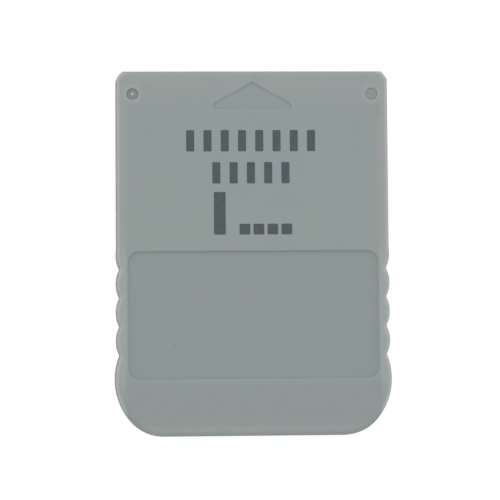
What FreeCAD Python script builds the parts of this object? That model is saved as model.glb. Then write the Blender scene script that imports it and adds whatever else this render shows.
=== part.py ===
import FreeCAD
import Part

import math
import os

Vector = FreeCAD.Vector

# Overall size. The card lies on its rear face, at z = 0, and its plug-in end points along +Y.
LENGTH = 55.35
THICKNESS = 8.0
SIDE_X = 20.74
GRIP_X = 21.0
SPLIT_Z = 4.0
DRAFT_DEGREES = 4.5

# Clipped corners of the plug-in end
CLIP_RADIUS = 3.4
CLIP_X = 17.6
CLIP_Y = 24.95

# Finger scallops and the rounded grip end
SCALLOP_COUNT = 4
SCALLOP_PITCH = 4.34
SCALLOP_RADIUS = 4.86
SCALLOP_PEAK_X = 20.8
FIRST_SCALLOP_Y = -0.22
NOTCH_RADIUS = 0.2
LEAD_IN_RADIUS = 0.5
BULGE_RADIUS = 9.7
BULGE_Y = -19.0
END_RADIUS = 6.66

# Walls of the two covers, and the lip where they meet
EDGE_ROUND = 0.85
SEAM_BEVEL = 0.1
SIDE_WALL_X = 19.1
END_WALL = 1.3
FRONT_WALL = 1.4
REAR_WALL = 1.2
TOP_CAVITY_CORNER = 1.0
LIP_WIDTH = 0.5
LIP_HEIGHT = 0.55
LIP_GAP = 0.06

# Label recess in the front face
RECESS_WIDTH = 37.6
RECESS_TOP_Y = 0.18
RECESS_BOTTOM_Y = -18.96
RECESS_CORNER = 1.7
RECESS_DEPTH = 0.24
RECESS_RIM = 0.18
RECESS_FOOT = 0.05

# Insertion arrow in the front face
ARROW_TIP_Y = 25.73
ARROW_SHOULDER_Y = 22.39
ARROW_BASE_Y = 21.64
ARROW_HALF_WIDTH = 5.87
ARROW_TIP_ROUND = 0.5
ARROW_SHOULDER_ROUND = 0.6
ARROW_BASE_ROUND = 0.35
ARROW_DEPTH = 0.12
ARROW_RIM = 0.08
ARROW_FOOT = 0.03

# Pegs of the rear cover at the plug-in end, which show in open holes of the front cover
PEG_X = 18.04
PEG_Y = 23.9
PEG_RADIUS = 0.84
PEG_FIT = 0.02
PEG_BEVEL = 0.08
DISC_PEG_TOP_Z = 7.87
DOME_PEG_TOP_Z = 7.76
PEG_DOME_RADIUS = 0.3
PEG_NUB_RADIUS = 0.24
PEG_NUB_HEIGHT = 0.14
PEG_NUB_ROUND = 0.12
PEG_HOLE_RIM = 0.2
PEG_FOOT_RADIUS = 1.4
PEG_COLLAR_RADIUS = 1.6

# Pegs at the grip end, which end inside the front cover
BLIND_PEG_X = 13.6
BLIND_PEG_Y = -21.6
BLIND_PEG_RADIUS = 1.0
BLIND_PEG_TOP_Z = 6.2
BLIND_SOCKET_TOP_Z = 6.4
BLIND_COLLAR_RADIUS = 2.2
BLIND_COLLAR_FOOT_Z = 2.6

# Circuit board
BOARD_HALF_WIDTH = 18.8
BOARD_TOP_Y = 26.2
BOARD_BOTTOM_Y = -1.6
BOARD_LOW_Z = 3.0
BOARD_HIGH_Z = 4.2
BOARD_CORNER = 0.6
BOARD_NOTCH_RADIUS = 1.0
BOARD_GAP = 0.05

# Contacts under the board, and the three open bays of the rear cover that they show in
CONTACT_WIDTH = 1.9
CONTACT_LENGTH = 5.2
CONTACT_TOP_Y = 25.9
CONTACT_PITCH = 3.0
CONTACT_THICKNESS = 0.06
CONTACT_CORNER = 0.3
MIDDLE_BAY_WIDTH = 6.2
SIDE_BAY_WIDTH = 9.2
BAY_RIB = 1.4
BAY_LENGTH = 7.2
BAY_BEVEL = 0.3

# Ribs inside the covers
RIB = 0.9
LEDGE_X = 16.2
LEDGE_TOP_Y = 18.0
HOLD_DOWN_LENGTH = 6.0
STOP_RIB_X = 9.0
STOP_RIB_LENGTH = 5.0
STOP_GAP = 0.15
GRIP_RIB_YS = (-7.0, -13.5)
GRIP_RIB_HEIGHT = 0.8

# Print on the front face: two rows of upright bars, one tall block and a short row of squares
INK_THICKNESS = 0.02
INK_CORNER = 0.15
PRINT_X = -0.28
BAR_WIDTH = 1.2
BAR_HEIGHT = 3.2
BAR_PITCH = 2.6
TOP_ROW_BARS = 8
TOP_ROW_Y = 16.81
LOW_ROW_BARS = 5
LOW_ROW_Y = 11.97
BLOCK_WIDTH = 1.75
BLOCK_HEIGHT = 6.4
BLOCK_X = -5.0
BLOCK_Y = 5.88
SQUARE = 1.6
SQUARE_COUNT = 4
SQUARE_PITCH = 2.1
SQUARE_ROW_X = 1.91
SQUARE_ROW_Y = 3.48

# Parts with leads on the board's front side: place, length, width and height of each body
MEMORY_CHIP = {"x": -5.6, "y": 10.4, "length": 17.8, "width": 8.4, "height": 2.0}
CONTROLLER_CHIP = {"x": 11.3, "y": 10.4, "length": 9.9, "width": 3.9, "height": 1.5}
RESONATOR = {"x": 11.3, "y": 3.6, "length": 7.4, "width": 3.2, "height": 1.7}
TANTALUM = {"x": 12.0, "y": 16.4, "length": 3.5, "width": 2.8, "height": 1.9}
REGULATOR = {"x": -14.2, "y": 19.2, "length": 2.9, "width": 1.5, "height": 1.0}
BODY_STANDOFF = 0.12
BODY_SLOPE = 0.12
PIN_ONE_RADIUS = 0.45
PIN_ONE_INSET = 1.35
PIN_ONE_DEPTH = 0.08
MEMORY_LEADS_PER_SIDE = 14
MEMORY_LEAD_REACH = 1.6
CONTROLLER_LEADS_PER_SIDE = 8
CONTROLLER_LEAD_REACH = 1.05
LEAD_PITCH = 1.27
LEAD_WIDTH = 0.4
LEAD_THICKNESS = 0.16
LEAD_FOOT = 0.55
LEAD_SLANT = 0.1
REGULATOR_LEAD_X = 0.95
REGULATOR_LEAD_REACH = 0.95
RESONATOR_END_ROUND = 1.4
RESONATOR_FOOT_PITCH = 2.5
RESONATOR_FOOT_WIDTH = 0.8
RESONATOR_FOOT_REACH = 0.3
TANTALUM_BEVEL = 0.15
TERMINAL_WIDTH = 2.2
TERMINAL_HEIGHT = 1.1
TERMINAL_FOOT = 0.8

# Small surface parts: length, width and height, and the place of each one
CAPACITOR_SIZE = (2.0, 1.25, 0.9)
CAPACITOR_PLACES = ((-5.6, 18.2), (0.2, 18.2), (6.2, 17.2), (-9.6, 2.4))
RESISTOR_SIZE = (2.0, 1.25, 0.5)
RESISTOR_PLACES = ((-5.6, 2.4), (-1.6, 2.4), (2.4, 2.4), (5.2, 15.0), (5.2, 5.6))
END_CAP_LENGTH = 0.4

# Working lengths: how far a cutting tool passes a face, and how deep a rib sinks into its wall
PASS = 1.0
SINK = 0.5
TINY = 1e-5

HALF_LENGTH = LENGTH / 2
CEILING_Z = THICKNESS - FRONT_WALL
END_WALL_Y = HALF_LENGTH - END_WALL
FACE_INSET = (THICKNESS - SPLIT_Z) * math.tan(math.radians(DRAFT_DEGREES))
BOARD_SEAT_Z = BOARD_LOW_Z - BOARD_GAP
HOLD_DOWN_Z = BOARD_HIGH_Z + BOARD_GAP
BAY_Y = HALF_LENGTH - BAY_LENGTH
SIDE_BAY_X = (MIDDLE_BAY_WIDTH + SIDE_BAY_WIDTH) / 2 + BAY_RIB


def line(start, end):
    return Part.LineSegment(Vector(*start, 0), Vector(*end, 0)).toShape()


def toward(centre, radius, point):
    """The place on a circle that lies towards a point."""
    dx, dy = point[0] - centre[0], point[1] - centre[1]
    reach = math.hypot(dx, dy)
    return centre[0] + dx * radius / reach, centre[1] + dy * radius / reach


def short_arc(centre, radius, start, end):
    """The shorter arc of a circle between two points on it."""
    middle = toward(centre, radius, ((start[0] + end[0]) / 2, (start[1] + end[1]) / 2))
    return Part.Arc(Vector(*start, 0), Vector(*middle, 0), Vector(*end, 0)).toShape()


def outer_crossing(centre_a, radius_a, centre_b, radius_b):
    """The crossing of two circles that lies further out along +X."""
    dx, dy = centre_b[0] - centre_a[0], centre_b[1] - centre_a[1]
    gap = math.hypot(dx, dy)
    along = (gap**2 + radius_a**2 - radius_b**2) / (2 * gap)
    off = math.sqrt(radius_a**2 - along**2)
    crossings = []
    for side in (-1, 1):
        x = centre_a[0] + (along * dx - side * off * dy) / gap
        y = centre_a[1] + (along * dy + side * off * dx) / gap
        crossings.append((x, y))
    return max(crossings)


def mirrored(edges):
    return [edge.mirror(Vector(0, 0, 0), Vector(1, 0, 0)) for edge in edges]


def closed_wire(edges):
    return Part.Wire(Part.__sortEdges__(edges))


def clipped_corner(side_x, end_y, radius):
    """The arc that clips a corner of the plug-in end, from the end to the side."""
    clip = (CLIP_X, CLIP_Y)
    top = (CLIP_X + math.sqrt(radius**2 - (end_y - CLIP_Y) ** 2), end_y)
    side = (side_x, CLIP_Y + math.sqrt(radius**2 - (side_x - CLIP_X) ** 2))
    return short_arc(clip, radius, top, side), top, side


def outline(inset=0.0):
    """The card's outline from above, moved inwards by inset. Hollow arcs grow as round ones shrink."""
    side_x, end_y = SIDE_X - inset, HALF_LENGTH - inset
    clip, clip_top, clip_side = clipped_corner(side_x, end_y, CLIP_RADIUS - inset)

    scallop_x = SCALLOP_PEAK_X - SCALLOP_RADIUS
    scallop_ys = [FIRST_SCALLOP_Y - k * SCALLOP_PITCH for k in range(SCALLOP_COUNT)]
    rounds = [((scallop_x, y), SCALLOP_RADIUS - inset) for y in scallop_ys]
    bulge, bulge_radius = (GRIP_X - BULGE_RADIUS, BULGE_Y), BULGE_RADIUS - inset
    rounds.append((bulge, bulge_radius))

    lead_x = SIDE_X + LEAD_IN_RADIUS
    lead_rise = math.sqrt((SCALLOP_RADIUS + LEAD_IN_RADIUS) ** 2 - (lead_x - scallop_x) ** 2)
    lead, lead_radius = (lead_x, FIRST_SCALLOP_Y + lead_rise), LEAD_IN_RADIUS + inset
    lead_start, here = (side_x, lead[1]), toward(lead, lead_radius, rounds[0][0])
    edges = [clip, line(clip_side, lead_start), short_arc(lead, lead_radius, lead_start, here)]

    notch_radius = NOTCH_RADIUS + inset
    for (centre, radius), (next_centre, next_radius) in zip(rounds, rounds[1:]):
        notch = outer_crossing(centre, radius + notch_radius, next_centre, next_radius + notch_radius)
        start, end = toward(notch, notch_radius, centre), toward(notch, notch_radius, next_centre)
        edges.append(short_arc(centre, radius, here, start))
        edges.append(short_arc(notch, notch_radius, start, end))
        here = end

    corner_y = END_RADIUS - HALF_LENGTH
    corner_x = bulge[0] + math.sqrt((BULGE_RADIUS - END_RADIUS) ** 2 - (corner_y - BULGE_Y) ** 2)
    join = toward(bulge, bulge_radius, (corner_x, corner_y))
    edges.append(short_arc(bulge, bulge_radius, here, join))
    edges.append(short_arc((corner_x, corner_y), END_RADIUS - inset, join, (corner_x, -end_y)))

    ends = [line((-clip_top[0], end_y), clip_top), line((-corner_x, -end_y), (corner_x, -end_y))]
    return closed_wire(edges + mirrored(edges) + ends)


def minus(a, b):
    return a[0] - b[0], a[1] - b[1]


def rounded_polygon(points, radii):
    """A face with straight sides, each corner of which is rounded by its own radius."""
    corners = []
    for k, here in enumerate(points):
        before, after = points[k - 1], points[(k + 1) % len(points)]
        to_before, to_after = toward((0, 0), 1, minus(before, here)), toward((0, 0), 1, minus(after, here))
        half_angle = math.acos(to_before[0] * to_after[0] + to_before[1] * to_after[1]) / 2
        run = radii[k] / math.tan(half_angle)
        inward = (here[0] + to_before[0] + to_after[0], here[1] + to_before[1] + to_after[1])
        centre = toward(here, radii[k] / math.sin(half_angle), inward)
        corners.append((toward(here, run, before), centre, toward(here, run, after)))
    edges = []
    for k, (start, centre, end) in enumerate(corners):
        edges.append(short_arc(centre, radii[k], start, end))
        edges.append(line(end, corners[(k + 1) % len(corners)][0]))
    return Part.Face(closed_wire(edges))


def rounded_rectangle(x, y, width, height, radius):
    left, right, low, high = x - width / 2, x + width / 2, y - height / 2, y + height / 2
    corners = [(left, low), (right, low), (right, high), (left, high)]
    return rounded_polygon(corners, [radius] * len(corners))


def cavity_face(grow=0.0):
    """The space inside the side walls, from above, made larger all round by grow."""
    x, y = SIDE_WALL_X + grow, END_WALL_Y + grow
    top, bottom = TOP_CAVITY_CORNER + grow, END_RADIUS - END_WALL + grow
    return rounded_polygon([(-x, -y), (x, -y), (x, y), (-x, y)], [bottom, bottom, top, top])


def prism(face, low_z, high_z):
    base = face.copy()
    base.translate(Vector(0, 0, low_z))
    return base.extrude(Vector(0, 0, high_z - low_z))


def box(x_span, y_span, z_span):
    (x0, x1), (y0, y1), (z0, z1) = sorted(x_span), sorted(y_span), sorted(z_span)
    return Part.makeBox(x1 - x0, y1 - y0, z1 - z0, Vector(x0, y0, z0))


def around(middle, width):
    return middle - width / 2, middle + width / 2


def post(x, y, radius, low_z, high_z):
    return Part.makeCylinder(radius, high_z - low_z, Vector(x, y, low_z))


def edges_at(shape, z, room=None):
    """The edges that lie at one height, and inside a bounding box if one is given."""
    found = []
    for edge in shape.Edges:
        span = edge.BoundBox
        level = max(abs(span.ZMin - z), abs(span.ZMax - z)) < TINY
        if level and (room is None or room.isInside(span)):
            found.append(edge)
    return found


def upright_edges(shape):
    return [edge for edge in shape.Edges if edge.BoundBox.ZLength > shape.BoundBox.ZLength - TINY]


def drafted_shell(face_z):
    """Half of the card's outside, from the seam to one face, where it is narrower by the draft."""
    seam, face = outline(), outline(FACE_INSET)
    seam.translate(Vector(0, 0, SPLIT_Z))
    face.translate(Vector(0, 0, face_z))
    shell = Part.makeLoft([seam, face], True, True)
    shell = shell.makeFillet(EDGE_ROUND, edges_at(shell, face_z))
    return shell.makeChamfer(SEAM_BEVEL, edges_at(shell, SPLIT_Z))


def press_in(shape, face, depth, foot, rim):
    """Sinks a shallow pocket into the front face, with a rounded foot and a rounded rim."""
    floor_z = THICKNESS - depth
    tool = prism(face, floor_z, THICKNESS + PASS)
    tool = tool.makeFillet(foot, edges_at(tool, floor_z))
    room = tool.BoundBox
    room.enlarge(TINY)
    shape = shape.cut(tool)
    return shape.makeFillet(rim, edges_at(shape, THICKNESS, room))


def recess_face():
    height = RECESS_TOP_Y - RECESS_BOTTOM_Y
    return rounded_rectangle(0, RECESS_TOP_Y - height / 2, RECESS_WIDTH, height, RECESS_CORNER)


def arrow_face():
    w = ARROW_HALF_WIDTH
    right = [(w, ARROW_BASE_Y), (w, ARROW_SHOULDER_Y)]
    left = [(-w, ARROW_SHOULDER_Y), (-w, ARROW_BASE_Y)]
    side_radii = [ARROW_BASE_ROUND, ARROW_SHOULDER_ROUND]
    radii = side_radii + [ARROW_TIP_ROUND] + side_radii[::-1]
    return rounded_polygon(right + [(0, ARROW_TIP_Y)] + left, radii)


def front_cover():
    shell = drafted_shell(THICKNESS)
    shell = shell.cut(prism(cavity_face(), SPLIT_Z - PASS, CEILING_Z))
    shell = press_in(shell, recess_face(), RECESS_DEPTH, RECESS_FOOT, RECESS_RIM)
    shell = press_in(shell, arrow_face(), ARROW_DEPTH, ARROW_FOOT, ARROW_RIM)
    shell = shell.fuse([front_lip()] + front_collars() + front_ribs())
    socket_radius = BLIND_PEG_RADIUS + PEG_FIT
    for side in (-1, 1):
        shell = open_peg_hole(shell, side * PEG_X)
        x = side * BLIND_PEG_X
        shell = shell.cut(post(x, BLIND_PEG_Y, socket_radius, REAR_WALL, BLIND_SOCKET_TOP_Z))
    return shell.removeSplitter()


def front_lip():
    """The thin lip along the inside of the wall, which enters the rear cover."""
    ring = prism(cavity_face(LIP_WIDTH), SPLIT_Z - LIP_HEIGHT, SPLIT_Z + LIP_HEIGHT)
    return ring.cut(prism(cavity_face(), SPLIT_Z - PASS, SPLIT_Z + PASS))


def front_collars():
    """Tubes round the pegs. Those at the plug-in end also hold the board down."""
    high_z = CEILING_Z + SINK
    collars = []
    for side in (-1, 1):
        collars.append(post(side * PEG_X, PEG_Y, PEG_COLLAR_RADIUS, HOLD_DOWN_Z, high_z))
        x = side * BLIND_PEG_X
        collars.append(post(x, BLIND_PEG_Y, BLIND_COLLAR_RADIUS, BLIND_COLLAR_FOOT_Z, high_z))
    return collars


def front_ribs():
    """Ribs that hold the board down, and low ribs that stiffen the wall under the label."""
    high_z = CEILING_Z + SINK
    start_y = BOARD_BOTTOM_Y + RIB
    ribs = []
    for side in (-1, 1):
        x_span = around(side * (SIDE_WALL_X - RIB), RIB)
        ribs.append(box(x_span, (start_y, start_y + HOLD_DOWN_LENGTH), (HOLD_DOWN_Z, high_z)))
    for y in GRIP_RIB_YS:
        x_span = (-SIDE_WALL_X, SIDE_WALL_X)
        ribs.append(box(x_span, around(y, RIB), (CEILING_Z - GRIP_RIB_HEIGHT, high_z)))
    return ribs


def open_peg_hole(shell, x):
    """A hole with a wide rounded rim, in which a peg's tip shows."""
    bore = post(x, PEG_Y, PEG_RADIUS + PEG_FIT, BOARD_HIGH_Z, THICKNESS + PASS)
    room = bore.BoundBox
    room.enlarge(TINY)
    shell = shell.cut(bore)
    return shell.makeFillet(PEG_HOLE_RIM, edges_at(shell, THICKNESS, room))


def rear_cover():
    shell = drafted_shell(0)
    shell = shell.cut(prism(cavity_face(), REAR_WALL, SPLIT_Z + PASS))
    rabbet_z = SPLIT_Z - LIP_HEIGHT - LIP_GAP
    shell = shell.cut(prism(cavity_face(LIP_WIDTH + LIP_GAP), rabbet_z, SPLIT_Z + PASS))
    shell = shell.fuse([contact_pad()] + rear_ribs() + peg_feet())
    shell = shell.cut([contact_bay(x, width) for x, width in bay_places()])
    return shell.fuse(rear_pegs()).removeSplitter()


def bay_places():
    return ((-SIDE_BAY_X, SIDE_BAY_WIDTH), (0, MIDDLE_BAY_WIDTH), (SIDE_BAY_X, SIDE_BAY_WIDTH))


def contact_pad():
    """The thick block behind the contacts, which carries the board at the plug-in end."""
    width = 2 * (SIDE_BAY_X + BAY_RIB) + SIDE_BAY_WIDTH
    y_span = (BAY_Y - BAY_RIB, END_WALL_Y + SINK)
    return box(around(0, width), y_span, (REAR_WALL - SINK, BOARD_SEAT_Z))


def contact_bay(x, width):
    """One bay as a solid: open to the rear and to the end, with a bevel round its mouth."""
    across = bevelled_profile(*around(x, width))
    along = bevelled_profile(BAY_Y, HALF_LENGTH + PASS)
    start_y = BAY_Y - BAY_BEVEL
    slot = Part.Face(Part.makePolygon([Vector(u, start_y, z) for u, z in across]))
    stop = Part.Face(Part.makePolygon([Vector(x - width, v, z) for v, z in along]))
    slot = slot.extrude(Vector(0, HALF_LENGTH + PASS - start_y, 0))
    return slot.common(stop.extrude(Vector(2 * width, 0, 0)))


def bevelled_profile(low, high):
    """A bay's closed section, wider at the rear face by the bevel."""
    points = [
        (low - BAY_BEVEL, -PASS),
        (low - BAY_BEVEL, 0),
        (low, BAY_BEVEL),
        (low, BOARD_LOW_Z),
        (high, BOARD_LOW_Z),
        (high, BAY_BEVEL),
        (high + BAY_BEVEL, 0),
        (high + BAY_BEVEL, -PASS),
    ]
    return points + points[:1]


def rear_ribs():
    """Ledges under the board's sides, stops at its lower edge, and stiffening ribs in the grip."""
    root_z = REAR_WALL - SINK
    stop_y = BOARD_BOTTOM_Y - STOP_GAP
    ribs = []
    for side in (-1, 1):
        ledge_y = (BOARD_BOTTOM_Y + RIB, LEDGE_TOP_Y)
        ribs.append(box(around(side * LEDGE_X, RIB), ledge_y, (root_z, BOARD_SEAT_Z)))
        stop_x = around(side * STOP_RIB_X, STOP_RIB_LENGTH)
        ribs.append(box(stop_x, (stop_y - RIB, stop_y), (root_z, BOARD_HIGH_Z)))
    for y in GRIP_RIB_YS:
        x_span = (-SIDE_WALL_X, SIDE_WALL_X)
        ribs.append(box(x_span, around(y, RIB), (root_z, REAR_WALL + GRIP_RIB_HEIGHT)))
    return ribs


def peg_feet():
    root_z = REAR_WALL - SINK
    return [post(side * PEG_X, PEG_Y, PEG_FOOT_RADIUS, root_z, BOARD_SEAT_Z) for side in (-1, 1)]


def rear_pegs():
    """The left peg ends in a dome with a small nub, the right one in a flat disc."""
    root_z = REAR_WALL - SINK
    nub = post(-PEG_X, PEG_Y, PEG_NUB_RADIUS, root_z, DOME_PEG_TOP_Z + PEG_NUB_HEIGHT)
    pegs = [
        round_tipped(post(-PEG_X, PEG_Y, PEG_RADIUS, root_z, DOME_PEG_TOP_Z), PEG_DOME_RADIUS),
        round_tipped(nub, PEG_NUB_ROUND),
        round_tipped(post(PEG_X, PEG_Y, PEG_RADIUS, root_z, DISC_PEG_TOP_Z), PEG_BEVEL),
    ]
    for x in (-BLIND_PEG_X, BLIND_PEG_X):
        peg = post(x, BLIND_PEG_Y, BLIND_PEG_RADIUS, root_z, BLIND_PEG_TOP_Z)
        pegs.append(round_tipped(peg, PEG_BEVEL))
    return pegs


def round_tipped(peg, radius):
    return peg.makeFillet(radius, edges_at(peg, peg.BoundBox.ZMax))


def circuit_board():
    height = BOARD_TOP_Y - BOARD_BOTTOM_Y
    middle_y = (BOARD_TOP_Y + BOARD_BOTTOM_Y) / 2
    face = rounded_rectangle(0, middle_y, 2 * BOARD_HALF_WIDTH, height, BOARD_CORNER)
    board = prism(face, BOARD_LOW_Z, BOARD_HIGH_Z)
    z_span = (BOARD_LOW_Z - PASS, BOARD_HIGH_Z + PASS)
    for side in (-1, 1):
        x = side * PEG_X
        notch = post(x, PEG_Y, BOARD_NOTCH_RADIUS, *z_span)
        way_out = box((x, side * (BOARD_HALF_WIDTH + PASS)), around(PEG_Y, 2 * BOARD_NOTCH_RADIUS), z_span)
        board = board.cut([notch, way_out])
    return board.removeSplitter()


def contact_places():
    """The x of each contact: three, two and three, each group in the middle of its bay."""
    three = [-CONTACT_PITCH, 0, CONTACT_PITCH]
    left = [x - SIDE_BAY_X for x in three]
    middle = [-CONTACT_PITCH / 2, CONTACT_PITCH / 2]
    return left + middle + [x + SIDE_BAY_X for x in three]


def contact(x):
    y = CONTACT_TOP_Y - CONTACT_LENGTH / 2
    face = rounded_rectangle(x, y, CONTACT_WIDTH, CONTACT_LENGTH, CONTACT_CORNER)
    return prism(face, BOARD_LOW_Z - CONTACT_THICKNESS, BOARD_LOW_Z)


def plain_body(item):
    low_z = BOARD_HIGH_Z + BODY_STANDOFF
    x_span, y_span = around(item["x"], item["length"]), around(item["y"], item["width"])
    return box(x_span, y_span, (low_z, low_z + item["height"]))


def moulded_body(item):
    """A package whose sides slope in above and below its middle."""
    low_z = BOARD_HIGH_Z + BODY_STANDOFF
    middle_z, high_z = low_z + item["height"] / 2, low_z + item["height"]
    halves = []
    for z in (low_z, high_z):
        wires = []
        for inset, level in ((0, middle_z), (BODY_SLOPE, z)):
            x0, x1 = around(item["x"], item["length"] - 2 * inset)
            y0, y1 = around(item["y"], item["width"] - 2 * inset)
            corners = [(x0, y0), (x1, y0), (x1, y1), (x0, y1), (x0, y0)]
            wires.append(Part.makePolygon([Vector(x, y, level) for x, y in corners]))
        halves.append(Part.makeLoft(wires, True, True))
    return halves[0].fuse(halves[1]).removeSplitter()


def chip_body(item):
    """A moulded package with a round dimple near its first lead."""
    body = moulded_body(item)
    x = item["x"] - item["length"] / 2 + PIN_ONE_INSET
    y = item["y"] - item["width"] / 2 + PIN_ONE_INSET
    top_z = body.BoundBox.ZMax
    return body.cut(post(x, y, PIN_ONE_RADIUS, top_z - PIN_ONE_DEPTH, top_z + PASS))


def bent_lead(x, edge_y, side, reach, shoulder_z):
    """One flat lead: straight out of the body, down at a slant, and flat on the board."""
    t = LEAD_THICKNESS
    foot_z = BOARD_HIGH_Z
    knee = reach - LEAD_FOOT
    profile = [
        (-t, shoulder_z - t / 2),
        (knee - t - LEAD_SLANT, shoulder_z - t / 2),
        (knee - t, foot_z),
        (reach, foot_z),
        (reach, foot_z + t),
        (knee, foot_z + t),
        (knee - LEAD_SLANT, shoulder_z + t / 2),
        (-t, shoulder_z + t / 2),
    ]
    points = [Vector(x - LEAD_WIDTH / 2, edge_y + side * out, z) for out, z in profile]
    return Part.Face(Part.makePolygon(points + points[:1])).extrude(Vector(LEAD_WIDTH, 0, 0))


def lead_group(item, body, places, reach):
    """The leads of one body, each given by its x from the body's middle and its side."""
    shoulder_z = BOARD_HIGH_Z + BODY_STANDOFF + item["height"] / 2
    leads = []
    for offset, side in places:
        edge_y = item["y"] + side * item["width"] / 2
        leads.append(bent_lead(item["x"] + offset, edge_y, side, reach, shoulder_z).cut(body))
    return Part.makeCompound(leads)


def two_rows(per_side):
    offsets = [(k - (per_side - 1) / 2) * LEAD_PITCH for k in range(per_side)]
    return [(offset, side) for side in (-1, 1) for offset in offsets]


def resonator():
    body = plain_body(RESONATOR)
    return body.makeFillet(RESONATOR_END_ROUND, upright_edges(body))


def resonator_leads():
    """Three flat feet that pass under the resonator."""
    width = RESONATOR["width"] + 2 * RESONATOR_FOOT_REACH
    z_span = (BOARD_HIGH_Z, BOARD_HIGH_Z + BODY_STANDOFF)
    feet = []
    for k in (-1, 0, 1):
        x_span = around(RESONATOR["x"] + k * RESONATOR_FOOT_PITCH, RESONATOR_FOOT_WIDTH)
        feet.append(box(x_span, around(RESONATOR["y"], width), z_span))
    return Part.makeCompound(feet)


def tantalum_capacitor():
    body = plain_body(TANTALUM)
    return body.makeChamfer(TANTALUM_BEVEL, upright_edges(body))


def tantalum_terminals():
    """Two metal strips, each up one end of the body and turned in under it."""
    y_span = around(TANTALUM["y"], TERMINAL_WIDTH)
    strips = []
    for side in (-1, 1):
        end_x = TANTALUM["x"] + side * TANTALUM["length"] / 2
        outer = (end_x, end_x + side * LEAD_THICKNESS)
        under = (end_x - side * TERMINAL_FOOT, end_x)
        wall = box(outer, y_span, (BOARD_HIGH_Z, BOARD_HIGH_Z + TERMINAL_HEIGHT))
        foot = box(under, y_span, (BOARD_HIGH_Z, BOARD_HIGH_Z + BODY_STANDOFF))
        strips.append(wall.fuse(foot).removeSplitter())
    return Part.makeCompound(strips)


def small_part_body(size, place):
    """A small component's body, between its two end caps."""
    length, width, height = size
    x_span = around(place[0], length - 2 * END_CAP_LENGTH)
    return box(x_span, around(place[1], width), (BOARD_HIGH_Z, BOARD_HIGH_Z + height))


def end_caps(size, places):
    length, width, height = size
    caps = []
    for x, y in places:
        for side in (-1, 1):
            end_x = x + side * length / 2
            x_span = (end_x - side * END_CAP_LENGTH, end_x)
            caps.append(box(x_span, around(y, width), (BOARD_HIGH_Z, BOARD_HIGH_Z + height)))
    return Part.makeCompound(caps)


def row_of_marks(count, middle, pitch, width, height):
    first_x = middle[0] - (count - 1) / 2 * pitch
    places = [first_x + k * pitch for k in range(count)]
    return [rounded_rectangle(x, middle[1], width, height, INK_CORNER) for x in places]


def front_print():
    faces = row_of_marks(TOP_ROW_BARS, (PRINT_X, TOP_ROW_Y), BAR_PITCH, BAR_WIDTH, BAR_HEIGHT)
    faces += row_of_marks(LOW_ROW_BARS, (PRINT_X, LOW_ROW_Y), BAR_PITCH, BAR_WIDTH, BAR_HEIGHT)
    faces.append(rounded_rectangle(BLOCK_X, BLOCK_Y, BLOCK_WIDTH, BLOCK_HEIGHT, INK_CORNER))
    faces += row_of_marks(SQUARE_COUNT, (SQUARE_ROW_X, SQUARE_ROW_Y), SQUARE_PITCH, SQUARE, SQUARE)
    return Part.makeCompound([prism(face, THICKNESS, THICKNESS + INK_THICKNESS) for face in faces])


def all_nodes():
    memory_chip, controller_chip = chip_body(MEMORY_CHIP), chip_body(CONTROLLER_CHIP)
    memory_leads, controller_leads = two_rows(MEMORY_LEADS_PER_SIDE), two_rows(CONTROLLER_LEADS_PER_SIDE)
    regulator = moulded_body(REGULATOR)
    regulator_leads = ((-REGULATOR_LEAD_X, -1), (REGULATOR_LEAD_X, -1), (0, 1))
    nodes = {
        "front_cover": front_cover(),
        "rear_cover": rear_cover(),
        "front_print": front_print(),
        "circuit_board": circuit_board(),
        "memory_chip": memory_chip,
        "memory_chip_leads": lead_group(MEMORY_CHIP, memory_chip, memory_leads, MEMORY_LEAD_REACH),
        "controller_chip": controller_chip,
        "controller_chip_leads": lead_group(
            CONTROLLER_CHIP, controller_chip, controller_leads, CONTROLLER_LEAD_REACH
        ),
        "voltage_regulator": regulator,
        "voltage_regulator_leads": lead_group(REGULATOR, regulator, regulator_leads, REGULATOR_LEAD_REACH),
        "resonator": resonator(),
        "resonator_leads": resonator_leads(),
        "tantalum_capacitor": tantalum_capacitor(),
        "tantalum_terminals": tantalum_terminals(),
        "capacitor_end_caps": end_caps(CAPACITOR_SIZE, CAPACITOR_PLACES),
        "resistor_end_caps": end_caps(RESISTOR_SIZE, RESISTOR_PLACES),
    }
    for number, x in enumerate(contact_places(), 1):
        nodes[f"contact_{number}"] = contact(x)
    for number, place in enumerate(CAPACITOR_PLACES, 1):
        nodes[f"capacitor_{number}"] = small_part_body(CAPACITOR_SIZE, place)
    for number, place in enumerate(RESISTOR_PLACES, 1):
        nodes[f"resistor_{number}"] = small_part_body(RESISTOR_SIZE, place)
    return nodes


def main():
    os.makedirs("parts", exist_ok=True)
    for name, shape in all_nodes().items():
        if not shape.isValid():
            raise ValueError(f"{name} is not a valid shape")
        shape.exportStep(f"parts/{name}.step")
        print(name, len(shape.Solids), "solids", round(shape.Volume, 2), "mm3")


main()
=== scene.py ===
import math

import bmesh
import bpy
from mathutils import Matrix, Vector


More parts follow.
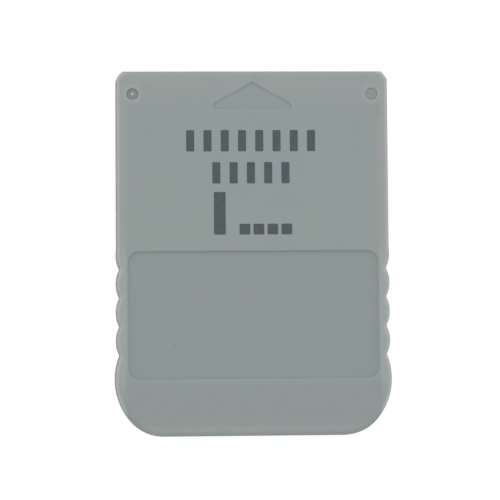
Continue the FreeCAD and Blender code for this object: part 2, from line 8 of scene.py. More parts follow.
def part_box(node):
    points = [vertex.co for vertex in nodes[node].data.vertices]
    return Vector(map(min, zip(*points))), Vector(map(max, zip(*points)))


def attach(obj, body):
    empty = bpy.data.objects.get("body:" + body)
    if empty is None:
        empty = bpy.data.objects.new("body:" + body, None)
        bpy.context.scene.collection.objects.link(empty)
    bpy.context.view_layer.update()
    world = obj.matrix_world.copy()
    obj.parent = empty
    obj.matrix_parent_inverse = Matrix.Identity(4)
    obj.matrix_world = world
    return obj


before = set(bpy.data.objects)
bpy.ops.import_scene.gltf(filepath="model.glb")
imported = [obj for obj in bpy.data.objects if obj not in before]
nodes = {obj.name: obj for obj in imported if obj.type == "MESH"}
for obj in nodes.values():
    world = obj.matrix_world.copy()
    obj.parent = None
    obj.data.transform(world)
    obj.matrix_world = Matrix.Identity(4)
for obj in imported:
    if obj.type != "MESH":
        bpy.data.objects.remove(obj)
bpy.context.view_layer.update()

MM = 0.001
PER_MM = 1000

# The camera looks down on the card from a little to the left of its middle, with a long lens.
CAMERA_PLACE = Vector((-11.226, -11.925, 257.464)) * MM
CAMERA_FORWARD = Vector((0.04288, 0.04906, -0.99787))
CAMERA_UP = Vector((0.00553, 0.99877, 0.04934))
CAMERA_LENS = 120
SENSOR = 36
CLIP_START = 0.01

# Soft lamps round the card: place and size in metres, and power in watts
LAMPS = {
    "end_lamp": ((0, 0.42, 0.20), (0.6, 0.25), 0.50),
    "left_lamp": ((-0.45, 0.08, 0.10), (0.6, 0.15), 0.30),
    "right_lamp": ((0.45, 0.08, 0.10), (0.6, 0.15), 0.30),
}
WHITE = (1.0, 1.0, 1.0)
WORLD_STRENGTH = 0.80
SEEN_STRENGTH = 1.0
FLOOR_ALBEDO = 0.3
FLOOR_GLOW = 0.82
FLOOR_HALF_SIZE = 1.5

# Base colours of the plastic and the ink, in sRGB, among them tones that paint light and shade on the
# plastic
SHELL = (0.577, 0.617, 0.617)
SHELL_WARM = (0.610, 0.630, 0.621)
SHELL_COOL = (0.566, 0.610, 0.620)
SHELL_PINK = (0.586, 0.618, 0.608)
SHELL_GREEN = (0.572, 0.618, 0.608)
# Pale tone for hairlines and a scratch, and for painted highlights on sharp edges, grip sides and
# hole rims
SHELL_RUB_AND_HIGHLIGHT = (0.640, 0.668, 0.662)
SHELL_DARK_MARK = (0.525, 0.560, 0.545)
# Painted highlight on the side roundings
SHELL_ROUND_HIGHLIGHT = (0.680, 0.700, 0.695)
# Painted shade on the steep side walls
SHELL_WALL_SHADE = (0.520, 0.550, 0.545)
# Painted highlight on the nub of the left peg
SHELL_NUB_HIGHLIGHT = (0.690, 0.712, 0.706)
# The sunk floors: their own bluer tone, darker as painted shade of the light falling off toward the
# grip end
RECESS = (0.555, 0.597, 0.605)
RECESS_PALE = (0.560, 0.594, 0.600)
RECESS_RIM = (0.556, 0.599, 0.594)
# Painted shade: slightly darker below the recess, where the light falls off toward the grip end
CHIN_SHADE = (0.564, 0.603, 0.600)
# Painted shade in the seam groove between the covers
SEAM_SHADE = (0.400, 0.420, 0.412)
INK = (0.264, 0.306, 0.318)
INK_THIN = (0.292, 0.334, 0.346)

# Colours of the parts inside, in sRGB
VARNISH = (0.075, 0.300, 0.175)
VARNISH_DEEP = (0.055, 0.245, 0.145)
VARNISH_ON_COPPER = (0.165, 0.420, 0.240)
LAMINATE_EDGE = (0.560, 0.580, 0.400)
GOLD = (0.870, 0.700, 0.340)
GOLD_WORN = (0.760, 0.600, 0.300)
EPOXY = (0.095, 0.095, 0.100)
EPOXY_GREY = (0.150, 0.150, 0.155)
TIN = (0.740, 0.740, 0.720)
TIN_DULL = (0.600, 0.600, 0.590)
SOLDER = (0.800, 0.800, 0.790)
AMBER = (0.760, 0.540, 0.320)
AMBER_DEEP = (0.680, 0.460, 0.250)
TANTALUM = (0.860, 0.630, 0.200)
TANTALUM_PALE = (0.900, 0.700, 0.300)
TANTALUM_BAND = (0.360, 0.190, 0.100)
CAPACITOR = (0.680, 0.550, 0.420)
CAPACITOR_DEEP = (0.590, 0.460, 0.340)
GLAZE = (0.110, 0.110, 0.120)
ALUMINA = (0.860, 0.850, 0.820)

# Patterns of noise: scale per millimetre, detail, and the values where a patch starts and is full.
# Lines that run along the card have a turn and a stretch as well.
PATTERNS = {
    "drift": (0.07, 2.0, 0.35, 0.65),
    "mottle": (0.32, 2.0, 0.3, 0.7),
    "speckle": (4.0, 3.0, 0.3, 0.8),
    "uneven_rim": (0.25, 3.0, 0.15, 0.5),
    "recess_rim": (0.22, 2.0, 0.2, 0.55),
    "dark_patch": (1.2, 3.0, 0.2, 0.7),
    # Patches of the sharp-edge mask, which paints a highlight and polishes
    "rubbing_and_highlight": (0.8, 3.0, 0.3, 0.7),
    "hairlines": (6.0, 2.0, 0.68, 0.74, 0.06, (1.0, 0.03, 1.0)),
    # Patches of painted shade along the seam
    "seam_shade": (0.6, 3.0, 0.0, 0.4),
    "satin": (0.9, 4.0, 0.3, 0.7),
    "thin_ink": (1.1, 4.0, 0.4, 0.8),
    "ink_pinholes": (9.0, 2.0, 0.66, 0.74),
    "ink_gloss": (2.0, 3.0, 0.35, 0.65),
    "copper_areas": (0.16, 1.0, 0.48, 0.5),
    "contact_wipes": (7.0, 2.0, 0.55, 0.75, 0, (1.0, 0.04, 1.0)),
    "filler_specks": (14.0, 1.0, 0.70, 0.76),
}

# Areas of the covers, in millimetres: a coordinate, where the area starts and where it is full, and
# for some the least and the most that it gives there
AREAS = {
    "sides": (("across", 18.5, 19.7),),
    "plug_in_end": (("Y", 19.5, 27.5, 0.0, 0.7),),
    "grip_end": (("Y", -20.5, -27.5, 0.0, 0.8),),
    "sunk": (
        ("Z", 7.95, 7.90),
        ("Z", 7.5, 7.6),
        ("across", 18.75, 18.6),
        ("Y", 26.4, 26.2),
        ("Y", -18.95, -18.8),
    ),
    "recess_sides": (("across", 11.0, 18.0),),
    "recess_foot": (("Y", -12.0, -18.0),),
    "arrow": (("Y", 10.0, 20.0, 0.0, 0.5),),
    "chin": (("Y", -19.3, -19.9), ("Y", -27.0, -25.0), ("across", 19.6, 18.8)),
    "grips": (("across", 18.9, 19.2), ("Y", 2.0, -1.0), ("Y", -21.0, -18.0)),
    "side_rounds": (("across", 18.6, 19.4),),
    "walls": (("Z", 7.6, 7.2),),
    "seam": (("from_seam", 0.22, 0.10),),
    "front": (("Z", 6.0, 6.5),),
}
SEAM_Z = 4.0
RECESS_Z = 7.76

# Masks by how far a face looks up or down, from 0 upright to 1 level: where each starts and is full
LEVEL = (0.6, 0.8)
NEARLY_LEVEL = (0.8, 1.0)
OFF_THE_WALL = (0.3, 0.6)
WALL = (0.45, 0.15)

# Edges: how well a face agrees with its rounded edge where the mask starts and is full, and the
# radii of the rounding in millimetres
EDGE_TURN = (0.995, 0.9)
EDGE_SAMPLES = 4
SHELL_EDGE = 0.25
LEAD_EDGE = 0.05

# Small marks that the photograph shows, in millimetres: a darker patch, a darker dot and a short pale
# scratch
MARKS = (
    {
        "centre": (19.0, 21.0, 8.0),
        "stretch": (1.0, 0.32, 1.0),
        "reach": (0.1, 0.75),
        "masks": ("dark_patch",),
        "strength": 0.55,
        "tone": SHELL_DARK_MARK,
    },
    {
        "centre": (-8.4, -10.55, RECESS_Z),
        "stretch": (1.0, 1.0, 1.0),
        "reach": (0.1, 0.4),
        "masks": (),
        "strength": 0.35,
        "tone": SHELL_DARK_MARK,
    },
    {
        "centre": (-12.65, -13.85, RECESS_Z),
        "stretch": (1.0, 0.25, 1.0),
        "reach": (0.03, 0.14),
        "masks": (),
        "strength": 0.6,
        "tone": SHELL_RUB_AND_HIGHLIGHT,
    },
)

# Pegs in the open holes: x, tone and reach of the tip, which is painted shade on the sunken tip, and
# tone of the hole's wall, which is painted light against the shade in the hole
PEG_X = 18.04
PEG_Y = 23.9
PEGS = (
    (-PEG_X, (0.536, 0.574, 0.568), (0.62, 0.74), (0.715, 0.735, 0.730)),
    (PEG_X, (0.550, 0.590, 0.588), (0.70, 0.84), (0.640, 0.665, 0.660)),
)
# The halo: a painted highlight on the rounded rim of each hole
HALO_REACH = (1.25, 1.7)
HALO_STRENGTH = 0.35
HOLE_REACH = (0.88, 0.94)
NUB_REACH = (0.18, 0.3)

# Strengths, gloss and relief of the covers and the print, with depths in millimetres
PINK_SHARE = 0.5
# How much painted highlight the sides of the grip take
GRIP_HIGHLIGHT = 0.5
# How much painted highlight the sharp edges take
EDGE_HIGHLIGHT_STRENGTH = 0.25
HAIRLINE_STRENGTH = (0.08, 0.3)
SPECKLE_STRENGTH = 0.10
SHELL_SPECULAR = 0.3
SHELL_ROUGHNESS = (0.50, 0.60)
SUNK_POLISH = 0.04
RUBBED_POLISH = 0.10
WAVES = {"Scale": 0.35, "Detail": 1.0}
WAVE_DEPTH = 0.02
SHELL_GRAIN = {"Scale": 7.0, "Detail": 3.0}
FINE_GRAIN = {"Scale": 8.0, "Detail": 3.0}
GRAIN_DEPTH = 0.004
HAIRLINE_DEPTH = -0.002
PINHOLE_STRENGTH = 0.5
INK_ROUGHNESS = (0.55, 0.68)

# Finishes of the parts inside: two tones and the roughness of each, and for some whether they are
# metal, the scale of their patches per millimetre, the depth of their grain and a stretch along them
FINISHES = {
    "board_laminate": {
        "tones": (VARNISH, VARNISH_DEEP),
        "roughness": (0.22, 0.34),
        "scale": 0.5,
        "depth": 0.003,
    },
    "contact_gold": {
        "tones": (GOLD, GOLD_WORN),
        "roughness": (0.16, 0.30),
        "metallic": 1.0,
        "scale": 1.0,
        "depth": 0.002,
    },
    "chip_plastic": {"tones": (EPOXY, EPOXY_GREY), "roughness": (0.48, 0.66), "scale": 0.8},
    "lead_metal": {
        "tones": (TIN, TIN_DULL),
        "roughness": (0.26, 0.46),
        "metallic": 1.0,
        "scale": 2.5,
        "depth": 0.003,
        "stretch": (1.0, 0.3, 1.0),
    },
    "solder": {
        "tones": (SOLDER, TIN),
        "roughness": (0.14, 0.30),
        "metallic": 1.0,
        "scale": 3.0,
        "depth": 0.002,
    },
    "resonator_body": {"tones": (AMBER, AMBER_DEEP), "roughness": (0.22, 0.36)},
    "tantalum_body": {"tones": (TANTALUM, TANTALUM_PALE), "roughness": (0.34, 0.5)},
    "capacitor_ceramic": {"tones": (CAPACITOR, CAPACITOR_DEEP), "roughness": (0.5, 0.68)},
    "resistor_ceramic": {"tones": (GLAZE, EPOXY_GREY), "roughness": (0.2, 0.36)},
}
FINISH_DETAIL = 4.0
FINISH_SPAN = (0.3, 0.7)
COPPER_CELLS = {"Scale": 0.55, "Randomness": 0.0}
COPPER_EDGE = (0.36, 0.39)
COPPER_DEPTH = 0.02
WEAVE_SCALE = 0.9
WEAVE_DEPTH = 0.004
WIPED_Y = (21.2, 22.4)
WIPE_STRENGTH = 0.5
WIPE_DULLNESS = 0.18
CONTACT_ROUGHNESS = 0.2
WIPE_DEPTH = -0.003
SPECK_STRENGTH = 0.25
LEAD_BRIGHTNESS = 0.6
POSITIVE_BAND = (0.95, 0.85)

# Solder fillets: how far each level stands out from the foot and its height, in millimetres
SOLDERED = (
    "memory_chip_leads",
    "controller_chip_leads",
    "voltage_regulator_leads",
    "resonator_leads",
    "tantalum_terminals",
    "capacitor_end_caps",
    "resistor_end_caps",
)
SOLDER_PROFILE = ((0.20, 0.0), (0.12, 0.02), (0.07, 0.045), (0.03, 0.085), (0.012, 0.11))
CORNER_STEPS = 3
QUAD = 4
TOUCH = 1e-6


def linear(colour):
    """An sRGB colour as the linear values that shaders take."""
    values = [c / 12.92 if c <= 0.04045 else ((c + 0.055) / 1.055) ** 2.4 for c in colour]
    return (*values, 1.0)


def link(thing):
    bpy.context.scene.collection.objects.link(thing)


def add_camera():
    data = bpy.data.cameras.new("camera")
    data.lens = CAMERA_LENS
    data.sensor_width = SENSOR
    data.clip_start = CLIP_START
    camera = bpy.data.objects.new("camera", data)
    right = CAMERA_FORWARD.cross(CAMERA_UP).normalized()
    up = right.cross(CAMERA_FORWARD).normalized()
    axes = Matrix((right, up, -CAMERA_FORWARD.normalized())).transposed()
    camera.matrix_world = Matrix.Translation(CAMERA_PLACE) @ axes.to_4x4()
    link(camera)
    bpy.context.scene.camera = camera


def add_lamp(name, place, size, power):
    """An area lamp that looks at the middle of the card and stays out of the picture."""
    data = bpy.data.lights.new(name, "AREA")
    data.shape = "RECTANGLE"
    data.size, data.size_y = size
    data.energy = power
    lamp = bpy.data.objects.new(name, data)
    lamp.location = place
    lamp.rotation_mode = "QUATERNION"
    lamp.rotation_quaternion = (-Vector(place)).to_track_quat("-Z", "Y")
    lamp.visible_camera = False
    link(lamp)


def add_world():
    """Even white light, on a background that shows as white."""
    world = bpy.data.worlds.new("studio")
    bpy.context.scene.world = world
    world.use_nodes = True
    tree = world.node_tree
    tree.nodes.clear()
    soft = add(tree, "Background", {"Color": linear(WHITE), "Strength": WORLD_STRENGTH})
    white = add(tree, "Background", {"Color": linear(WHITE), "Strength": SEEN_STRENGTH})
    both = add(tree, "MixShader", {0: seen_rays(tree), 1: soft.outputs[0], 2: white.outputs[0]})
    add(tree, "OutputWorld", {"Surface": both.outputs[0]})


def seen_rays(tree):
    """1 where a ray shows the background: to the camera, in a reflection or through glass."""
    rays = add(tree, "LightPath").outputs
    return largest(tree, rays["Is Camera Ray"], rays["Is Glossy Ray"], rays["Is Transmission Ray"])


def add(tree, kind, inputs=None, **settings):
    """One node, with its settings, and its inputs given as values or as sockets to link."""
    node = tree.nodes.new("ShaderNode" + kind)
    for key, value in settings.items():
        setattr(node, key, value)
    for key, value in (inputs or {}).items():
        if isinstance(value, bpy.types.NodeSocket):
            tree.links.new(value, node.inputs[key])
        else:
            node.inputs[key].default_value = value
    return node


def new_material(name, **values):
    """A material with one Principled shader, whose sockets are set by name."""
    material = bpy.data.materials.new(name)
    material.use_nodes = True
    tree = material.node_tree
    tree.nodes.clear()
    shader = add(tree, "BsdfPrincipled")
    for key, value in values.items():
        shader.inputs[key.replace("_", " ")].default_value = value
    add(tree, "OutputMaterial", {"Surface": shader.outputs[0]})
    return material, tree, shader


def millimetres(tree):
    """The place on the object, in millimetres."""
    place = add(tree, "TexCoord").outputs["Object"]
    return add(tree, "VectorMath", {0: place, "Scale": PER_MM}, operation="SCALE").outputs[0]


def maths(tree, operation, a, b=0.0):
    return add(tree, "Math", {0: a, 1: b}, operation=operation).outputs[0]


def times(tree, first, *others):
    for other in others:
        first = maths(tree, "MULTIPLY", first, other)
    return first


def largest(tree, first, *others):
    for other in others:
        first = maths(tree, "MAXIMUM", first, other)
    return first


def band(tree, value, start, end, low=0.0, high=1.0):
    """Goes smoothly from low to high as the value goes from start to end."""
    inputs = {"Value": value, "From Min": start, "From Max": end, "To Min": low, "To Max": high}
    return add(tree, "MapRange", inputs, interpolation_type="SMOOTHSTEP").outputs[0]


def mix(tree, factor, a, b):
    """A colour between two, each an sRGB colour or a socket."""
    a = a if isinstance(a, bpy.types.NodeSocket) else linear(a)
    b = b if isinstance(b, bpy.types.NodeSocket) else linear(b)
    return add(tree, "Mix", {0: factor, 6: a, 7: b}, data_type="RGBA").outputs[2]


def noise(tree, place, scale, detail, start, end, turn=0, stretch=None):
    """Soft random patches from 0 to 1, at a scale per millimetre, which may be stretched."""
    if stretch:
        inputs = {"Vector": place, "Rotation": (0, 0, turn), "Scale": stretch}
        place = add(tree, "Mapping", inputs).outputs[0]
    value = add(tree, "TexNoise", {"Vector": place, "Scale": scale, "Detail": detail}).outputs[0]
    return band(tree, value, start, end)


def pattern(tree, place, name):
    return noise(tree, place, *PATTERNS[name])


def area(tree, coords, name):
    """1 inside a named area of the covers and 0 outside it."""
    return times(tree, *(band(tree, coords[key], *span) for key, *span in AREAS[name]))


def spot(tree, place, centre, stretch, inner, outer):
    """1 in the middle of a mark and 0 outside it. A stretch below 1 lengthens the mark."""
    scaled = add(tree, "VectorMath", {0: place, 1: stretch}, operation="MULTIPLY").outputs[0]
    middle = tuple(c * s for c, s in zip(centre, stretch))
    reach = add(tree, "VectorMath", {0: scaled, 1: middle}, operation="DISTANCE").outputs["Value"]
    return band(tree, reach, outer, inner)


def bump(tree, height, depth, normal=None):
    """A relief, with its depth in millimetres, on top of another where one is given."""
    inputs = {"Height": height, "Distance": depth * MM}
    if normal:
        inputs["Normal"] = normal
    return add(tree, "Bump", inputs).outputs[0]


def relief(tree, place, grain):
    return add(tree, "TexNoise", {"Vector": place, **grain}).outputs[0]


def edge_mask(tree, radius):
    """1 on sharp edges and 0 on open faces."""
    rounded = add(tree, "Bevel", {"Radius": radius * MM}, samples=EDGE_SAMPLES).outputs[0]
    face = add(tree, "NewGeometry").outputs["Normal"]
    turn = add(tree, "VectorMath", {0: rounded, 1: face}, operation="DOT_PRODUCT").outputs["Value"]
    return band(tree, turn, *EDGE_TURN)


def upward(tree, start, end):
    """0 to 1 by how far a face looks up or down, from 0 upright to 1 level."""
    face = add(tree, "NewGeometry").outputs["Normal"]
    up = add(tree, "SeparateXYZ", {0: face}).outputs["Z"]
    return band(tree, maths(tree, "ABSOLUTE", up), start, end)


def card_coordinates(tree, place):
    """The coordinates that the areas are given in: two of them are distances from a middle plane."""
    axes = add(tree, "SeparateXYZ", {0: place}).outputs
    return {
        "across": maths(tree, "ABSOLUTE", axes["X"]),
        "Y": axes["Y"],
        "Z": axes["Z"],
        "from_seam": maths(tree, "ABSOLUTE", maths(tree, "SUBTRACT", axes["Z"], SEAM_Z)),
    }


def base_tones(tree, place, coords, sunk):
    """Slow drifts and blotches of colour, greyer along the rim, and bluer sunk floors that are also
    darker as painted shade.
    """
    mottle = pattern(tree, place, "mottle")
    colour = mix(tree, pattern(tree, place, "drift"), SHELL_GREEN, SHELL_COOL)
    colour = mix(tree, mottle, mix(tree, PINK_SHARE, colour, SHELL_PINK), colour)

    rim = [area(tree, coords, name) for name in ("sides", "plug_in_end", "grip_end")]
    uneven = times(tree, largest(tree, *rim), pattern(tree, place, "uneven_rim"))
    colour = mix(tree, uneven, colour, SHELL_WARM)

    near_rim = largest(tree, area(tree, coords, "recess_sides"), area(tree, coords, "recess_foot"))
    near_rim = times(tree, near_rim, pattern(tree, place, "recess_rim"))
    # Painted shade and a bluer tone on the sunk floors
    sunk_floor = mix(tree, near_rim, mix(tree, mottle, RECESS_PALE, RECESS), RECESS_RIM)
    sunk_floor = mix(tree, area(tree, coords, "arrow"), sunk_floor, SHELL)
    return mix(tree, sunk, colour, sunk_floor)


def side_tones(tree, coords, colour, steep):
    """A slightly darker, browner grey below the recess as painted shade, paler grip sides and side
    roundings as painted highlights, and painted shade on the steep side walls.
    """
    # Painted shade below the recess
    colour = mix(tree, area(tree, coords, "chin"), colour, CHIN_SHADE)
    # Painted highlight on the sides of the grip
    grips = times(tree, area(tree, coords, "grips"), GRIP_HIGHLIGHT)
    colour = mix(tree, grips, colour, SHELL_RUB_AND_HIGHLIGHT)
    # Painted highlight on the side roundings, which face partly up
    rounds = maths(tree, "SUBTRACT", upward(tree, *OFF_THE_WALL), upward(tree, *NEARLY_LEVEL))
    round_highlight = times(tree, rounds, area(tree, coords, "side_rounds"))
    colour = mix(tree, round_highlight, colour, SHELL_ROUND_HIGHLIGHT)
    # Painted shade on the steep walls
    return mix(tree, steep, colour, SHELL_WALL_SHADE)


def surface_marks(tree, place, colour):
    for mark in MARKS:
        here = spot(tree, place, mark["centre"], mark["stretch"], *mark["reach"])
        masks = [pattern(tree, place, name) for name in mark["masks"]]
        colour = mix(tree, times(tree, here, *masks, mark["strength"]), colour, mark["tone"])
    return colour


def wear(tree, place, coords, colour, steep, rubbed_and_highlit, hairlines):
    """Painted highlight along the sharp edges, hairlines from sliding in and out, painted shade in
    the seam between the covers, and a fine speckle.
    """
    # Painted highlight along the sharp edges and rims
    colour = mix(tree, times(tree, rubbed_and_highlit, EDGE_HIGHLIGHT_STRENGTH), colour, SHELL_RUB_AND_HIGHLIGHT)
    shown = band(tree, steep, 0.0, 1.0, *HAIRLINE_STRENGTH)
    colour = mix(tree, shown, colour, mix(tree, hairlines, colour, SHELL_RUB_AND_HIGHLIGHT))
    # Painted shade in the seam between the covers
    shade = times(tree, area(tree, coords, "seam"), pattern(tree, place, "seam_shade"))
    colour = mix(tree, shade, colour, SEAM_SHADE)
    speckle = times(tree, pattern(tree, place, "speckle"), SPECKLE_STRENGTH)
    return mix(tree, speckle, colour, SHELL_WARM)


def peg_tones(tree, place, coords, colour):
    """Painted shade on the sunken peg tips, painted light on the hole walls, a faint painted
    highlight round each hole's rounded rim, and a painted highlight on the nub of the left peg.
    """
    front = area(tree, coords, "front")

    def disc(peg_x, reach):
        return times(tree, spot(tree, place, (peg_x, PEG_Y, 0), (1, 1, 0), *reach), front)

    for peg_x, tip, tip_reach, wall in PEGS:
        # Painted highlight round the rim, painted light on the wall and painted shade on the tip
        colour = mix(tree, times(tree, disc(peg_x, HALO_REACH), HALO_STRENGTH), colour, SHELL_RUB_AND_HIGHLIGHT)
        colour = mix(tree, disc(peg_x, HOLE_REACH), colour, wall)
        colour = mix(tree, disc(peg_x, tip_reach), colour, tip)
    return mix(tree, disc(-PEG_X, NUB_REACH), colour, SHELL_NUB_HIGHLIGHT)


def shell_plastic():
    """The moulded grey-green plastic of both covers."""
    material, tree, shader = new_material("shell_plastic", Specular_IOR_Level=SHELL_SPECULAR)
    place = millimetres(tree)
    coords = card_coordinates(tree, place)
    sunk = area(tree, coords, "sunk")
    # The steep walls, which take painted shade, and on which the hairlines show more
    steep = times(tree, upward(tree, *WALL), area(tree, coords, "walls"))
    # Sharp edges and rims, which take a painted highlight and are polished
    rubbed_and_highlit = times(tree, edge_mask(tree, SHELL_EDGE), pattern(tree, place, "rubbing_and_highlight"))
    hairlines = pattern(tree, place, "hairlines")

    colour = base_tones(tree, place, coords, sunk)
    colour = side_tones(tree, coords, colour, steep)
    colour = surface_marks(tree, place, colour)
    colour = wear(tree, place, coords, colour, steep, rubbed_and_highlit, hairlines)
    colour = peg_tones(tree, place, coords, colour)
    tree.links.new(colour, shader.inputs["Base Color"])

    roughness = band(tree, pattern(tree, place, "satin"), 0.0, 1.0, *SHELL_ROUGHNESS)
    roughness = maths(tree, "SUBTRACT", roughness, times(tree, sunk, SUNK_POLISH))
    roughness = maths(tree, "SUBTRACT", roughness, times(tree, rubbed_and_highlit, RUBBED_POLISH))
    tree.links.new(roughness, shader.inputs["Roughness"])

    normal = bump(tree, relief(tree, place, WAVES), WAVE_DEPTH)
    normal = bump(tree, relief(tree, place, SHELL_GRAIN), GRAIN_DEPTH, normal)
    normal = bump(tree, hairlines, HAIRLINE_DEPTH, normal)
    tree.links.new(normal, shader.inputs["Normal"])
    return material


def print_ink():
    """Dull screen print, thin in places, with pinholes that show the plastic."""
    material, tree, shader = new_material("print_ink")
    place = millimetres(tree)
    colour = mix(tree, pattern(tree, place, "thin_ink"), INK, INK_THIN)
    pinholes = times(tree, pattern(tree, place, "ink_pinholes"), PINHOLE_STRENGTH)
    tree.links.new(mix(tree, pinholes, colour, SHELL), shader.inputs["Base Color"])
    roughness = band(tree, pattern(tree, place, "ink_gloss"), 0.0, 1.0, *INK_ROUGHNESS)
    tree.links.new(roughness, shader.inputs["Roughness"])
    normal = bump(tree, relief(tree, place, FINE_GRAIN), GRAIN_DEPTH)
    tree.links.new(normal, shader.inputs["Normal"])
    return material


def finish(name, tones, roughness, metallic=0.0, scale=1.5, depth=GRAIN_DEPTH, stretch=None):
    """Two mixed tones, uneven gloss and a grain. Hands back its nodes too, for more to be added."""
    material, tree, shader = new_material(name, Metallic=metallic)
    place = millimetres(tree)
    patches = noise(tree, place, scale, FINISH_DETAIL, *FINISH_SPAN, stretch=stretch)
    tone = mix(tree, patches, *tones)
    tree.links.new(tone, shader.inputs["Base Color"])
    tree.links.new(band(tree, patches, 0.0, 1.0, *roughness), shader.inputs["Roughness"])
    normal = bump(tree, relief(tree, place, FINE_GRAIN), depth)
    tree.links.new(normal, shader.inputs["Normal"])
    return material, tree, shader, place, tone


def finished(name):
    """A finish of the table, with its nodes."""
    return finish(name, **FINISHES[name])


def plain_finish(name):
    return finished(name)[0]


def board_laminate():
    """Green varnish over a woven laminate and buried copper, with bare laminate at the cut edges."""
    material, tree, shader, place, tone = finished("board_laminate")
    inputs = {"Vector": place, **COPPER_CELLS}
    cells = add(tree, "TexVoronoi", inputs, distance="CHEBYCHEV", feature="F1").outputs["Distance"]
    copper = times(tree, band(tree, cells, *COPPER_EDGE), pattern(tree, place, "copper_areas"))
    tone = mix(tree, copper, tone, VARNISH_ON_COPPER)
    tone = mix(tree, upward(tree, *LEVEL), LAMINATE_EDGE, tone)
    tree.links.new(tone, shader.inputs["Base Color"])

    threads = {"Vector": place, "Scale": WEAVE_SCALE}
    weave = [add(tree, "TexWave", threads, bands_direction=axis).outputs["Fac"] for axis in "XY"]
    normal = bump(tree, copper, COPPER_DEPTH)
    normal = bump(tree, largest(tree, *weave), WEAVE_DEPTH, normal)
    tree.links.new(normal, shader.inputs["Normal"])
    return material


def contact_gold():
    """Gold plate, with fine wipe marks along the card where spring contacts slide."""
    material, tree, shader, place, tone = finished("contact_gold")
    wipes = pattern(tree, place, "contact_wipes")
    along = add(tree, "SeparateXYZ", {0: place}).outputs["Y"]
    slid_over = times(tree, wipes, band(tree, along, *WIPED_Y))
    tone = mix(tree, times(tree, slid_over, WIPE_STRENGTH), tone, TIN)
    tree.links.new(tone, shader.inputs["Base Color"])
    roughness = maths(tree, "ADD", times(tree, slid_over, WIPE_DULLNESS), CONTACT_ROUGHNESS)
    tree.links.new(roughness, shader.inputs["Roughness"])
    tree.links.new(bump(tree, wipes, WIPE_DEPTH), shader.inputs["Normal"])
    return material


def chip_plastic():
    """Black moulding epoxy with pale filler specks."""
    material, tree, shader, place, tone = finished("chip_plastic")
    specks = times(tree, pattern(tree, place, "filler_specks"), SPECK_STRENGTH)
    tree.links.new(mix(tree, specks, tone, TIN_DULL), shader.inputs["Base Color"])
    return material


def lead_metal():
    """Dull tin plate, drawn along the card, paler on its sharp edges."""
    material, tree, shader, _, tone = finished("lead_metal")
    bright = times(tree, edge_mask(tree, LEAD_EDGE), LEAD_BRIGHTNESS)
    tree.links.new(mix(tree, bright, tone, ALUMINA), shader.inputs["Base Color"])
    return material


def tantalum_body():
    """Amber epoxy, with the dark band that marks the positive end."""
    material, tree, shader, place, tone = finished("tantalum_body")
    x = add(tree, "SeparateXYZ", {0: place}).outputs["X"]
    end_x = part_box("tantalum_capacitor")[0][0] * PER_MM
    marked = band(tree, x, *(end_x + edge for edge in POSITIVE_BAND))
    marked = times(tree, marked, upward(tree, *LEVEL))
    tree.links.new(mix(tree, marked, tone, TANTALUM_BAND), shader.inputs["Base Color"])
    return material


def resistor_ceramic():
    """A white ceramic block under a black glazed top."""
    material, tree, shader, _, tone = finished("resistor_ceramic")
    tone = mix(tree, upward(tree, *LEVEL), ALUMINA, tone)
    tree.links.new(tone, shader.inputs["Base Color"])
    return material


def numbered(name, count):
    return [f"{name}_{k}" for k in range(1, count + 1)]


def put_on(material, *names):
    for name in names:
        for slot in nodes[name].material_slots:
            slot.material = material


def solids(shape):
    """The corners of each separate solid of a mesh."""
    seen = set()
    for start in shape.verts:
        if start in seen:
            continue
        seen.add(start)
        solid = [start]
        for here in solid:
            for edge in here.link_edges:
                other = edge.other_vert(here)
                if other not in seen:
                    seen.add(other)
                    solid.append(other)
        yield [vert.co for vert in solid]


def feet(name, board_z):
    """Where each solid of a node stands on the board: its least and greatest x, then y, in metres."""
    shape = bmesh.new()
    shape.from_mesh(nodes[name].data)
    bmesh.ops.remove_doubles(shape, verts=shape.verts, dist=TOUCH)
    found = []
    for corners in solids(shape):
        low = [co for co in corners if co.z < board_z + TOUCH]
        if low:
            xs = [co.x for co in low]
            ys = [co.y for co in low]
            found.append((min(xs), max(xs), min(ys), max(ys)))
    shape.free()
    return found


def rounded_loop(foot, grow, z):
    """Points round a footprint that is grown outwards, with round corners."""
    x0, x1, y0, y1 = foot
    corners = ((x1, y1), (x0, y1), (x0, y0), (x1, y0))
    points = []
    for quarter, (x, y) in enumerate(corners):
        for step in range(CORNER_STEPS + 1):
            turn = math.radians(90) * (quarter + step / CORNER_STEPS)
            points.append((x + grow * math.cos(turn), y + grow * math.sin(turn), z))
    return points


def add_fillet(mesh, foot, board_z):
    """One closed, hollow-sided fillet round a foot."""
    loops = []
    for grow, height in SOLDER_PROFILE:
        points = rounded_loop(foot, grow * MM, board_z + height * MM)
        loops.append([mesh.verts.new(point) for point in points])
    for lower, upper in zip(loops, loops[1:]):
        for k in range(len(lower)):
            after = (k + 1) % len(lower)
            mesh.faces.new((lower[k], lower[after], upper[after], upper[k]))
    mesh.faces.new(loops[0][::-1])
    mesh.faces.new(loops[-1])


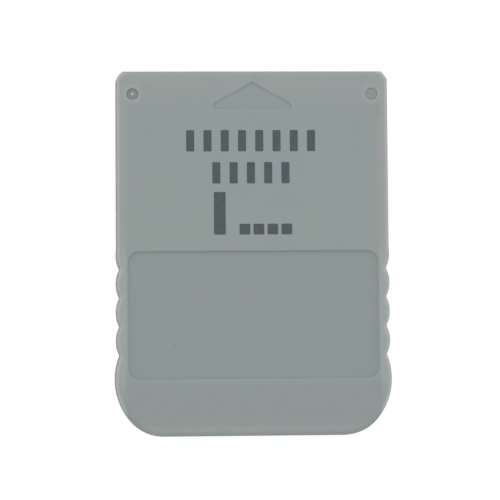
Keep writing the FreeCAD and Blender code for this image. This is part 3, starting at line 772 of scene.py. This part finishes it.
def add_solder():
    """Fillets of solder round every foot and end cap on the board, as one piece."""
    board_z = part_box("circuit_board")[1][2]
    mesh = bmesh.new()
    for name in SOLDERED:
        for foot in feet(name, board_z):
            add_fillet(mesh, foot, board_z)
    data = bpy.data.meshes.new("solder_joints")
    mesh.to_mesh(data)
    mesh.free()
    for face in data.polygons:
        face.use_smooth = len(face.vertices) == QUAD
    piece = bpy.data.objects.new("solder_joints", data)
    link(piece)
    data.materials.append(plain_finish("solder"))
    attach(piece, "root")


def add_floor():
    """A pale floor that the card shades, and that shows as nearly white."""
    s = FLOOR_HALF_SIZE
    mesh = bpy.data.meshes.new("floor")
    mesh.from_pydata([(-s, -s, 0), (s, -s, 0), (s, s, 0), (-s, s, 0)], [], [(0, 1, 2, 3)])
    floor = bpy.data.objects.new("floor", mesh)
    link(floor)
    material = bpy.data.materials.new("floor")
    material.use_nodes = True
    tree = material.node_tree
    tree.nodes.clear()
    matt = add(tree, "BsdfDiffuse", {"Color": (FLOOR_ALBEDO, FLOOR_ALBEDO, FLOOR_ALBEDO, 1)})
    glow = add(tree, "Emission", {"Strength": times(tree, seen_rays(tree), FLOOR_GLOW)})
    both = add(tree, "AddShader", {0: matt.outputs[0], 1: glow.outputs[0]})
    add(tree, "OutputMaterial", {"Surface": both.outputs[0]})
    mesh.materials.append(material)


add_camera()
add_world()
for lamp_name, (lamp_place, lamp_size, lamp_power) in LAMPS.items():
    add_lamp(lamp_name, lamp_place, lamp_size, lamp_power)
add_floor()

put_on(shell_plastic(), "front_cover", "rear_cover")
put_on(print_ink(), "front_print")
put_on(board_laminate(), "circuit_board")
put_on(contact_gold(), *numbered("contact", 8))
put_on(chip_plastic(), "memory_chip", "controller_chip", "voltage_regulator")
put_on(lead_metal(), *SOLDERED)
put_on(plain_finish("resonator_body"), "resonator")
put_on(tantalum_body(), "tantalum_capacitor")
put_on(plain_finish("capacitor_ceramic"), *numbered("capacitor", 4))
put_on(resistor_ceramic(), *numbered("resistor", 5))
add_solder()

bpy.context.scene.view_settings.view_transform = "Standard"
